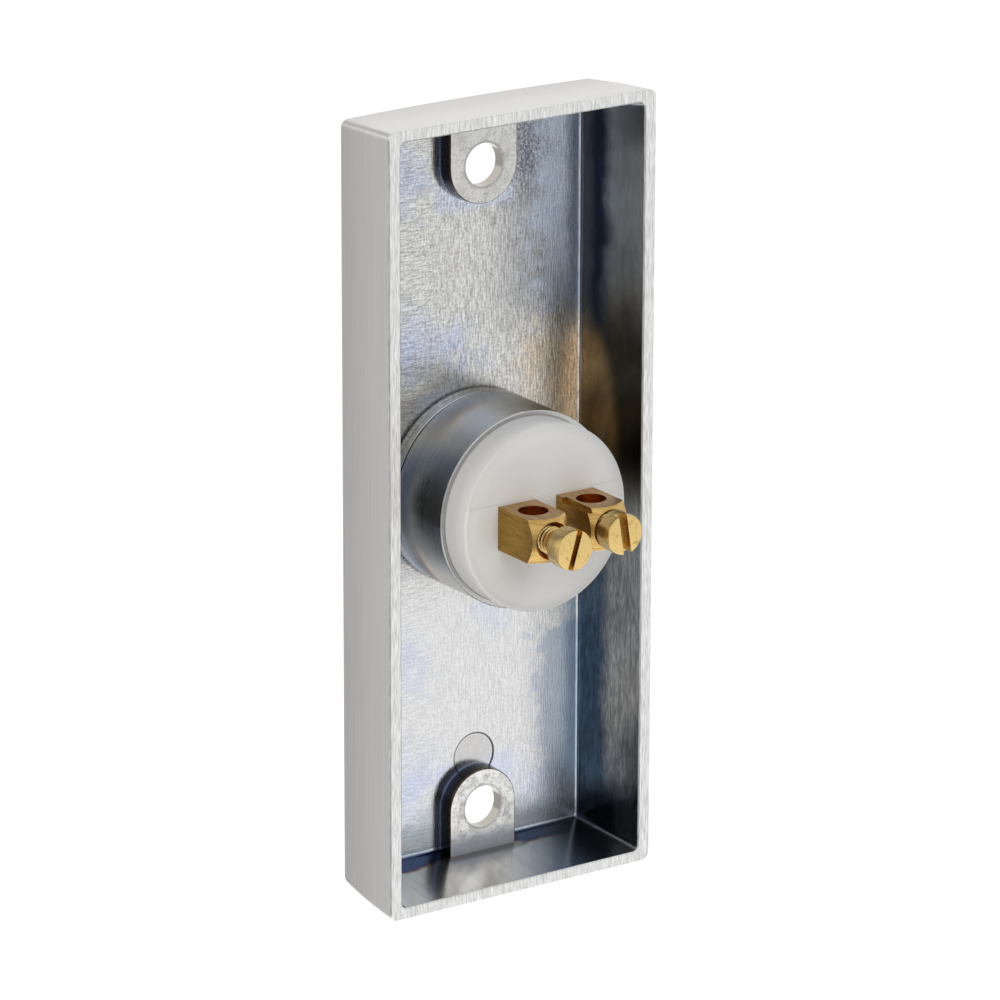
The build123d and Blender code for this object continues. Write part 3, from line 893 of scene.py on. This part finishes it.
@dataclass(frozen=True)
class SawnBrass(Finish):
    """Brass bar, sawn and drilled, with tarnish specks; its faces are coloured by which way they face, as
    painted light and shade: bright turned ends, tan tops, darker sides, with painted shade inside the holes.
    """

    slot: ClassVar[str] = "terminal_brass"
    # Painted light and shade by face: bright ends, tan tops, darker sides; the sides' colour also makes the
    # real tarnish specks
    bright: Colour = (0.68, 0.46, 0.16)
    top: Colour = (0.56, 0.35, 0.14)
    side: Colour = (0.44, 0.265, 0.055)
    # Painted shade inside the holes
    hole_shade: Colour = (0.50, 0.15, 0.02)
    saw_mark: Colour = (0.40, 0.31, 0.20)
    axis_x: float = TERMINAL_X
    wire_y: float = 6.9
    hole_r: float = 1.55
    mouth_r: float = 1.95
    rough: float = 0.30
    saw_depth: float = 0.010

    def values(self) -> Inputs:
        """Works out the finish.

        Returns:
            The shader's values by input.
        """
        g = self.g
        x, y, z = self.place
        nx, ny, nz = self.normal
        top_saw = self.lines((4.5, 0.5, 0.6), 0.3, (0, 8, 0))
        flank_saw = self.lines((0.5, 0.5, 4.5), 0.3, (14, 0, 0))
        lines = g.between(g.step(nz, 0.6, 0.8), flank_saw, top_saw)
        # Painted light and shade: each face coloured by which way it faces
        colour = g.mix(g.step(nz, 0.75, 0.95), self.bright, self.top)
        colour = g.mix(g.step(g.unsigned(nx), 0.75, 0.95), colour, self.side)
        colour = g.mix(g.times(lines, 0.6), colour, self.saw_mark, Blend.DARKEN)
        colour = g.mix(g.times(self.specks(0.9, 0.22), 0.5), colour, self.side)
        off_axis = g.minus(g.unsigned(x), self.axis_x)
        from_wire = g.length(off_axis, g.minus(y, self.wire_y))
        from_screw = g.length(off_axis, z)
        upright = g.step(g.unsigned(nz), 0.7, 0.5)
        in_wire = g.times(g.step(from_wire, self.hole_r + 0.06, self.hole_r + 0.02), upright)
        in_tap = g.times(g.step(from_screw, self.mouth_r + 0.06, self.mouth_r + 0.02), g.step(ny, 0.97, 0.90))
        # Painted shade inside the wire holes and the tapped mouth
        colour = g.mix(g.larger(in_wire, in_tap), colour, self.hole_shade)
        rough = g.span(lines, self.rough - 0.06, self.rough + 0.12)
        return bare_metal(colour, rough, g.bump(lines, self.saw_depth))


@dataclass(frozen=True)
class TurnedBrass(Finish):
    """Turned screw brass with tarnish specks and painted shade on its threaded shank."""

    slot: ClassVar[str] = "screw_brass"
    gold: Colour = (0.70, 0.50, 0.20)
    stain: Colour = (0.42, 0.26, 0.08)
    # Painted shade on the threaded shank
    shank_shade: Colour = (0.34, 0.16, 0.03)
    axis_x: float = TERMINAL_X
    shank_r: float = 1.5
    rough: float = 0.27
    mark_depth: float = 0.012

    def values(self) -> Inputs:
        """Works out the finish.

        Returns:
            The shader's values by input.
        """
        g = self.g
        x, _, z = self.place
        ny = self.normal[1]
        turning = self.lines((0.5, 6.0, 0.5), 0.3)
        pits = self.specks(1.5, 0.28)
        colour = g.mix(g.times(pits, 0.6), self.gold, self.stain)
        colour = g.mix(g.times(turning, g.step(ny, 0.9, 0.5), 0.35), colour, self.stain)
        radius = g.length(g.minus(g.unsigned(x), self.axis_x), z)
        shank = g.times(g.step(radius, self.shank_r + 0.08, self.shank_r), g.step(ny, 0.9, 0.6))
        # Painted shade on the threaded shank
        colour = g.mix(g.times(shank, 0.75), colour, self.shank_shade)
        marks = g.between(0.5, turning, self.noise(1.8, 4.0))
        rough = g.span(pits, self.rough, self.rough + 0.2)
        return bare_metal(colour, rough, g.bump(marks, self.mark_depth))


@dataclass(frozen=True)
class ButtonPlastic(Finish):
    """Polished pale moulding with faint clouding and fine wear."""

    slot: ClassVar[str] = "button_plastic"
    shell: Colour = (0.80, 0.785, 0.75)
    shade: Colour = (0.74, 0.72, 0.67)
    coat: float = 0.2
    ripple: float = 0.006

    def values(self) -> Inputs:
        """Works out the finish.

        Returns:
            The shader's values by input.
        """
        colour = self.g.mix(self.noise(0.3, 3.0), self.shell, self.shade)
        rough = self.g.span(self.specks(2.5, 0.15), 0.16, 0.34)
        normal = self.g.bump(self.noise(0.8), self.ripple)
        return {"Base Color": colour, "Roughness": rough, "Normal": normal, "Coat Weight": self.coat}


@dataclass(frozen=True)
class DrawnWire(Finish):
    """Drawn spring wire, stained by oil."""

    slot: ClassVar[str] = "spring_steel"
    steel: Colour = (0.52, 0.52, 0.54)
    oil: Colour = (0.34, 0.32, 0.29)

    def values(self) -> Inputs:
        """Works out the finish.

        Returns:
            The shader's values by input.
        """
        colour = self.g.mix(self.g.times(self.specks(0.8, 0.25), 0.5), self.steel, self.oil)
        rough = self.g.span(self.noise(2.0, 3.0), 0.22, 0.36)
        return {"Base Color": colour, "Roughness": rough, "Metallic": 1.0}


class Finishes:
    """Every finish of the bell push, by the record's slot."""

    def __init__(self) -> None:
        """Builds the shared effects, then each material once."""
        effects = Effects()
        kinds = (PlatedCasing, TurnedBarrel, MilkyNylon, SawnBrass, TurnedBrass, ButtonPlastic, DrawnWire)
        self.by_slot = {kind.slot: kind(effects).build() for kind in kinds}

    def dress(self, nodes: Sequence[str]) -> None:
        """Gives nodes of the frame the finish of their slots.

        Args:
            nodes: the nodes' names.
        """
        slots = {part["node"]: part["material_slot"] for part in frame["record"]["subparts"]}
        for name in nodes:
            mesh = frame["nodes"][name].data
            mesh.materials.clear()
            mesh.materials.append(self.by_slot[slots[name]])


def new_piece(bm: bmesh.types.BMesh, name: str, material: bpy.types.Material) -> bpy.types.Object:
    """Makes an object of a mesh.

    Args:
        bm: the mesh, in the part's frame, which is freed.
        name: the object's name.
        material: its material.

    Returns:
        The new object, linked to the scene.
    """
    mesh = bpy.data.meshes.new(name)
    bm.to_mesh(mesh)
    bm.free()
    mesh.materials.append(material)
    piece = bpy.data.objects.new(name, mesh)
    bpy.context.scene.collection.objects.link(piece)
    return piece


def finish_piece(
    bm: bmesh.types.BMesh, name: str, material: bpy.types.Material, smooth_below: float
) -> bpy.types.Object:
    """Closes a mesh and makes an object of it, as new_piece does.

    Args:
        bm: the mesh.
        name: the piece's name.
        material: its finish.
        smooth_below: edges that turn by less than this many degrees are shaded smooth.

    Returns:
        The new object.
    """
    bmesh.ops.remove_doubles(bm, verts=bm.verts, dist=MERGE)
    bmesh.ops.recalc_face_normals(bm, faces=bm.faces)
    for face in bm.faces:
        face.smooth = True
    for edge in bm.edges:
        edge.smooth = not edge.is_manifold or edge.calc_face_angle() < math.radians(smooth_below)
    return new_piece(bm, name, material)


def round_edges(bm: bmesh.types.BMesh, edges: list[bmesh.types.BMEdge], width: float, steps: int) -> None:
    """Rounds edges of a mesh.

    Args:
        bm: the mesh.
        edges: the edges.
        width: how far the rounding reaches on each side.
        steps: how many faces it has across.
    """
    bmesh.ops.bevel(
        bm, geom=edges, offset=width, offset_type="OFFSET", segments=steps, profile=0.5, affect="EDGES",
        material=-1,
    )


@dataclass
class ClampScrew:
    """Slotted cheese-head screw with a helical thread, which takes its place from its CAD node.

    Sizes are in millimetres, and the thread's root_half and crest_half are shares of its pitch.
    """

    node: str
    body: str
    slot_w: float
    slot_turn: float
    head_len: float = 1.95
    head_edge: float = 0.14
    head_edge_steps: int = 3
    slot_depth: float = 0.9
    slot_edge: float = 0.04
    slot_edge_steps: int = 2
    core_r: float = 1.2
    thread_r: float = 1.45
    pitch: float = 0.5
    thread_sink: float = 0.05
    root_half: float = 0.45
    crest_half: float = 0.12
    thread_tip: float = 0.5
    tip_break: float = 0.2
    sides: int = 48

    def __post_init__(self) -> None:
        """Reads the screw's axis, ends and head size from the frame."""
        low, high = (Vector(corner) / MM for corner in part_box(self.node))
        self.axis_x = (low.x + high.x) / 2
        self.head_r = (high.x - low.x) / 2
        self.tip_y = low.y
        self.face_y = high.y
        self.under_y = self.face_y - self.head_len

    def _place(self) -> Matrix:
        """Turns a piece made along Z so that it points along Y, on the screw's axis.

        Returns:
            The matrix, which also goes from millimetres to metres.
        """
        along_y = Matrix.Rotation(math.radians(-90), 4, "X")
        turned = Matrix.Rotation(math.radians(self.slot_turn), 4, "Z")
        return Matrix.Translation((self.axis_x * MM, 0, 0)) @ along_y @ Matrix.Scale(MM, 4) @ turned

    def _head(self) -> bmesh.types.BMesh:
        """Makes the head from a disc, with rounded edges and a slot.

        Returns:
            The head's mesh, along Z.
        """
        bm = bmesh.new()
        bmesh.ops.create_cone(
            bm, cap_ends=True, segments=self.sides, depth=self.head_len,
            radius1=self.head_r, radius2=self.head_r,
            matrix=Matrix.Translation((0, 0, self.under_y + self.head_len / 2)),
        )
        rims = [e for e in bm.edges if all(abs(v.co.z - self.face_y) < NEAR for v in e.verts)]
        round_edges(bm, rims, self.head_edge, self.head_edge_steps)
        floor_z = self.face_y - self.slot_depth
        half = self.slot_w / 2
        for point, normal in (
            ((half, 0, 0), (1, 0, 0)),
            ((-half, 0, 0), (1, 0, 0)),
            ((0, 0, floor_z), (0, 0, 1)),
        ):
            every = bm.verts[:] + bm.edges[:] + bm.faces[:]
            bmesh.ops.bisect_plane(bm, geom=every, dist=NEAR / 10, plane_co=point, plane_no=normal)
        gap = [
            f for f in bm.faces
            if abs(f.calc_center_median().x) < half - NEAR and f.calc_center_median().z > floor_z + NEAR
        ]
        bmesh.ops.delete(bm, geom=gap, context="FACES")
        open_edges = [e for e in bm.edges if e.is_boundary]
        for side in (-half, half):
            wall = [e for e in open_edges if all(abs(v.co.x - side) < NEAR for v in e.verts)]
            low = {v for e in wall for v in e.verts if abs(v.co.z - floor_z) < NEAR}
            ends = sorted(low, key=lambda v: v.co.y)
            wall_foot_shade = bm.edges.new((ends[0], ends[-1]))
            bmesh.ops.contextual_create(bm, geom=wall + [wall_foot_shade])
        rest = [e for e in bm.edges if e.is_boundary]
        bmesh.ops.contextual_create(bm, geom=rest)
        lip_z = self.face_y - self.head_edge - NEAR
        lips = [
            e for e in bm.edges
            if all(abs(abs(v.co.x) - half) < NEAR and v.co.z > lip_z for v in e.verts)
        ]
        round_edges(bm, lips, self.slot_edge, self.slot_edge_steps)
        return bm

    def _shank(self, bm: bmesh.types.BMesh) -> None:
        """Adds the core and its helical thread.

        Args:
            bm: the head's mesh.
        """
        length = self.under_y - self.tip_y
        outline = (
            (0.0, self.tip_y),
            (self.core_r - self.tip_break, self.tip_y),
            (self.core_r, self.tip_y + self.tip_break),
            (self.core_r, self.under_y),
        )
        core = [bm.verts.new((r, 0, z)) for r, z in outline]
        lines = [bm.edges.new(pair) for pair in zip(core, core[1:])]
        bmesh.ops.spin(
            bm, geom=core + lines, cent=(0, 0, 0), axis=(0, 0, 1), angle=math.tau, steps=self.sides,
            use_merge=True,
        )
        turns = (length - self.thread_tip) / self.pitch - 1.0
        steps = round(turns * self.sides)
        start = self.tip_y + self.thread_tip
        sunk = self.core_r - self.thread_sink
        ridge = (
            (sunk, start - self.root_half * self.pitch),
            (self.thread_r, start - self.crest_half * self.pitch),
            (self.thread_r, start + self.crest_half * self.pitch),
            (sunk, start + self.root_half * self.pitch),
        )
        ring = [bm.verts.new((r, 0, z)) for r, z in ridge]
        loop = [bm.edges.new(pair) for pair in zip(ring, ring[1:] + ring[:1])]
        made = bmesh.ops.spin(
            bm, geom=ring + loop, cent=(0, 0, 0), axis=(0, 0, 1), angle=turns * math.tau, steps=steps,
            dvec=(0, 0, turns * self.pitch / steps),
        )
        bmesh.ops.contextual_create(bm, geom=loop)
        last = [e for e in made["geom_last"] if isinstance(e, bmesh.types.BMEdge)]
        bmesh.ops.contextual_create(bm, geom=last)

    def build(self, finishes: Finishes) -> bpy.types.Object:
        """Makes the screw.

        Args:
            finishes: the materials.

        Returns:
            The piece, which stands for its CAD node and rides on its body.
        """
        bm = self._head()
        self._shank(bm)
        bmesh.ops.transform(bm, matrix=self._place(), verts=bm.verts)
        piece = finish_piece(bm, self.node + "_threaded", finishes.by_slot["screw_brass"], smooth_below=32)
        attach(piece, self.body)
        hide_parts(self.node)
        return piece


@dataclass
class ReturnSpring:
    """Coil spring between the button's flange and the plug.

    Sizes are in millimetres.
    """

    node: str = "return_spring"
    wire_r: float = 0.3
    turns: int = 4
    wire_sides: int = 10
    steps_per_turn: int = 48
    travel: float = 1.5

    def build(self, finishes: Finishes) -> bpy.types.Object:
        """Makes the spring by spinning its wire's section.

        Args:
            finishes: the materials.

        Returns:
            The piece, which rides on the casing.
        """
        low, high = (Vector(corner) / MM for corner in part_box(self.node))
        coil_r = (high.x - low.x) / 2 - self.wire_r
        rise = high.y - low.y - 2 * self.wire_r
        bm = bmesh.new()
        ring = bmesh.ops.create_circle(
            bm, segments=self.wire_sides, radius=self.wire_r, cap_ends=True,
            matrix=Matrix.Translation((coil_r, low.y + self.wire_r, 0)),
        )["verts"]
        section = list({e for v in ring for e in v.link_edges})
        steps = self.turns * self.steps_per_turn
        last = bmesh.ops.spin(
            bm, geom=ring + section, cent=(0, 0, 0), axis=(0, 1, 0), angle=self.turns * math.tau, steps=steps,
            dvec=(0, rise / steps, 0),
        )["geom_last"]
        bmesh.ops.contextual_create(bm, geom=[e for e in last if isinstance(e, bmesh.types.BMEdge)])
        bmesh.ops.scale(bm, vec=(MM, MM, MM), verts=bm.verts)
        piece = finish_piece(bm, "return_spring_coil", finishes.by_slot["spring_steel"], smooth_below=60)
        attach(piece, "casing")
        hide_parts(self.node)
        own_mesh(piece)
        return piece


@dataclass
class SeatRing:
    """Thin turned ring that closes the gap under the barrel's skirt down to a fine dark line.

    Sizes are in millimetres.
    """

    floor_y: float = FLOOR_Y
    skirt_y: float = SKIRT_Y
    line: float = 0.32
    lift: float = 0.02
    outer_r: float = 10.3
    inner_r: float = 9.75
    edge: float = 0.08
    steps: int = 96

    def build(self, finishes: Finishes) -> bpy.types.Object:
        """Spins the ring's section about the barrel's axis.

        Args:
            finishes: the materials.

        Returns:
            The ring, which rides on the casing.
        """
        low, high = self.floor_y + self.lift, self.skirt_y - self.line
        outline = (
            (self.inner_r, low),
            (self.outer_r, low),
            (self.outer_r, high - self.edge),
            (self.outer_r - self.edge, high),
            (self.inner_r, high),
        )
        bm = bmesh.new()
        ring = [bm.verts.new((r * MM, y * MM, 0)) for r, y in outline]
        loop = [bm.edges.new(pair) for pair in zip(ring, ring[1:] + ring[:1])]
        bmesh.ops.spin(
            bm, geom=ring + loop, cent=(0, 0, 0), axis=(0, 1, 0), angle=math.tau, steps=self.steps,
            use_merge=True,
        )
        piece = finish_piece(bm, "barrel_seat_ring", finishes.by_slot["barrel_metal"], smooth_below=30)
        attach(piece, "casing")
        return piece


@dataclass(frozen=True)
class Card:
    """A flat studio card that only reflections see, facing the object.

    Sizes are in metres.
    """

    name: str
    toward: Triple
    distance: float
    width: float
    height: float
    tone: float

    def build(self) -> bpy.types.Object:
        """Makes the card and hides it from all but reflections.

        Returns:
            The card.
        """
        bm = bmesh.new()
        bmesh.ops.create_grid(bm, x_segments=1, y_segments=1, size=0.5)
        bmesh.ops.scale(bm, vec=(self.width, self.height, 1), verts=bm.verts)
        way = Vector(self.toward).normalized()
        turn = way.to_track_quat("Z", "Y").to_matrix().to_4x4()
        bmesh.ops.transform(bm, matrix=Matrix.Translation(way * self.distance) @ turn, verts=bm.verts)
        material = bpy.data.materials.new(self.name)
        material.use_nodes = True
        material.node_tree.nodes.clear()
        graph = Graph(material.node_tree)
        glow = graph.node("Emission", {"Color": (self.tone, self.tone, self.tone)})
        graph.node("OutputMaterial", {"Surface": glow.outputs[0]})
        card = new_piece(bm, self.name, material)
        card.visible_camera = False
        card.visible_shadow = False
        card.visible_diffuse = False
        return card


@dataclass(frozen=True)
class SoftLamp:
    """A large soft lamp aimed at the object."""

    name: str
    place: Triple
    size: float
    power: float

    def build(self) -> bpy.types.Object:
        """Makes the lamp.

        Returns:
            The lamp's object.
        """
        lamp = bpy.data.lights.new(self.name, "AREA")
        lamp.shape = "SQUARE"
        lamp.size = self.size
        lamp.energy = self.power
        holder = bpy.data.objects.new(self.name, lamp)
        holder.location = self.place
        holder.rotation_euler = Vector(self.place).to_track_quat("Z", "Y").to_euler()
        bpy.context.scene.collection.objects.link(holder)
        holder.visible_glossy = False
        return holder


@dataclass(frozen=True)
class PhotoCamera:
    """The camera at the photograph's viewing angle."""

    place: Triple = (0.35353, 0.50987, 0.20139)
    azimuth: float = 145.48
    elevation: float = 17.91
    roll: float = 0.15
    lens: float = 231.9
    sensor: float = 36.0
    nearest: float = 0.01

    def build(self) -> bpy.types.Object:
        """Makes the camera and sets it as the scene's own.

        Returns:
            The camera's object.
        """
        camera = bpy.data.cameras.new("photo_camera")
        camera.lens = self.lens
        camera.sensor_width = self.sensor
        camera.clip_start = self.nearest
        holder = bpy.data.objects.new("photo_camera", camera)
        bpy.context.scene.collection.objects.link(holder)
        turn = Matrix.Rotation(math.radians(self.azimuth), 4, "Z")
        turn = turn @ Matrix.Rotation(math.radians(90 - self.elevation), 4, "X")
        turn = turn @ Matrix.Rotation(math.radians(self.roll), 4, "Z")
        holder.matrix_world = Matrix.Translation(self.place) @ turn
        bpy.context.scene.camera = holder
        return holder


@dataclass
class Studio:
    """White surroundings, soft lamps, reflection cards and the camera."""

    floor_z: float = -0.60
    floor_size: float = 8.0
    ambient: float = 0.55
    floor_glow: float = 0.56
    floor_tone: Colour = (0.8, 0.8, 0.8)
    floor_rough: float = 0.9

    def _white(self, graph: Graph) -> Socket:
        """Finds the rays that see the plain white background.

        Args:
            graph: the nodes that the mask is made in.

        Returns:
            The mask.
        """
        path = graph.node("LightPath", {})
        seen = graph.larger(path.outputs["Is Camera Ray"], path.outputs["Is Glossy Ray"])
        return graph.larger(seen, path.outputs["Is Transmission Ray"])

    def _world(self) -> None:
        """White to the camera and to reflections, softer as light."""
        world = bpy.data.worlds.new("studio")
        world.use_nodes = True
        back = world.node_tree.nodes["Background"]
        graph = Graph(world.node_tree)
        graph.put(back.inputs["Color"], WHITE)
        strength = graph.between(self._white(graph), self.ambient, 1.0)
        graph.put(back.inputs["Strength"], strength)
        bpy.context.scene.world = world

    def _floor(self) -> None:
        """A pale floor well below the object, lifted to white where no shadow falls."""
        bm = bmesh.new()
        bmesh.ops.create_grid(bm, x_segments=1, y_segments=1, size=self.floor_size / 2)
        bmesh.ops.translate(bm, vec=(0, 0, self.floor_z), verts=bm.verts)
        graph = MaterialGraph("floor_white")
        glow = graph.times(self._white(graph), self.floor_glow)
        values = {"Base Color": self.floor_tone, "Roughness": self.floor_rough}
        graph.feed(graph.shader, {**values, "Emission Color": WHITE, "Emission Strength": glow})
        floor = new_piece(bm, "floor", graph.material)

    def build(self) -> None:
        """Sets up the whole studio."""
        self._world()
        self._floor()
        for card in (
            Card("flag_left", (0.78, 0.54, -0.30), 0.8, 0.85, 0.7, 0.36),
            Card("grey_behind", (0.38, -0.87, -0.31), 0.8, 0.9, 0.7, 0.59),
        ):
            card.build()
        for lamp in (
            SoftLamp("key_front", (0.2, 1.1, 0.8), 0.9, 6.5),
            SoftLamp("fill_left", (1.2, 0.5, 0.0), 1.2, 6.0),
            SoftLamp("front_right", (0.6, -1.2, 0.7), 1.0, 9.0),
        ):
            lamp.build()
        PhotoCamera().build()
        bpy.context.scene.view_settings.view_transform = "Standard"


class BellPush:
    """The whole bell push: every CAD node dressed, with finer screws and a finer spring."""

    def __init__(self) -> None:
        """Builds the finishes."""
        self.finishes = Finishes()

    def build(self) -> list[bpy.types.Object]:
        """Dresses the nodes and makes the finer pieces.

        Returns:
            The new pieces.
        """
        self.finishes.dress(sorted(frame["nodes"]))
        makers = (
            ClampScrew("clamp_screw_a", "screw_a", slot_w=0.62, slot_turn=-16.5),
            ClampScrew("clamp_screw_b", "screw_b", slot_w=0.92, slot_turn=9.0),
            ReturnSpring(),
            SeatRing(),
        )
        return [maker.build(self.finishes) for maker in makers]


def main() -> None:
    """Builds the bell push and its studio, and reports each piece."""
    logging.basicConfig(level=logging.INFO, format="%(name)s: %(message)s")
    for piece in BellPush().build():
        LOG.info("%s: %d faces", piece.name, len(piece.data.polygons))
    Studio().build()


if __name__ == "__main__":
    main()
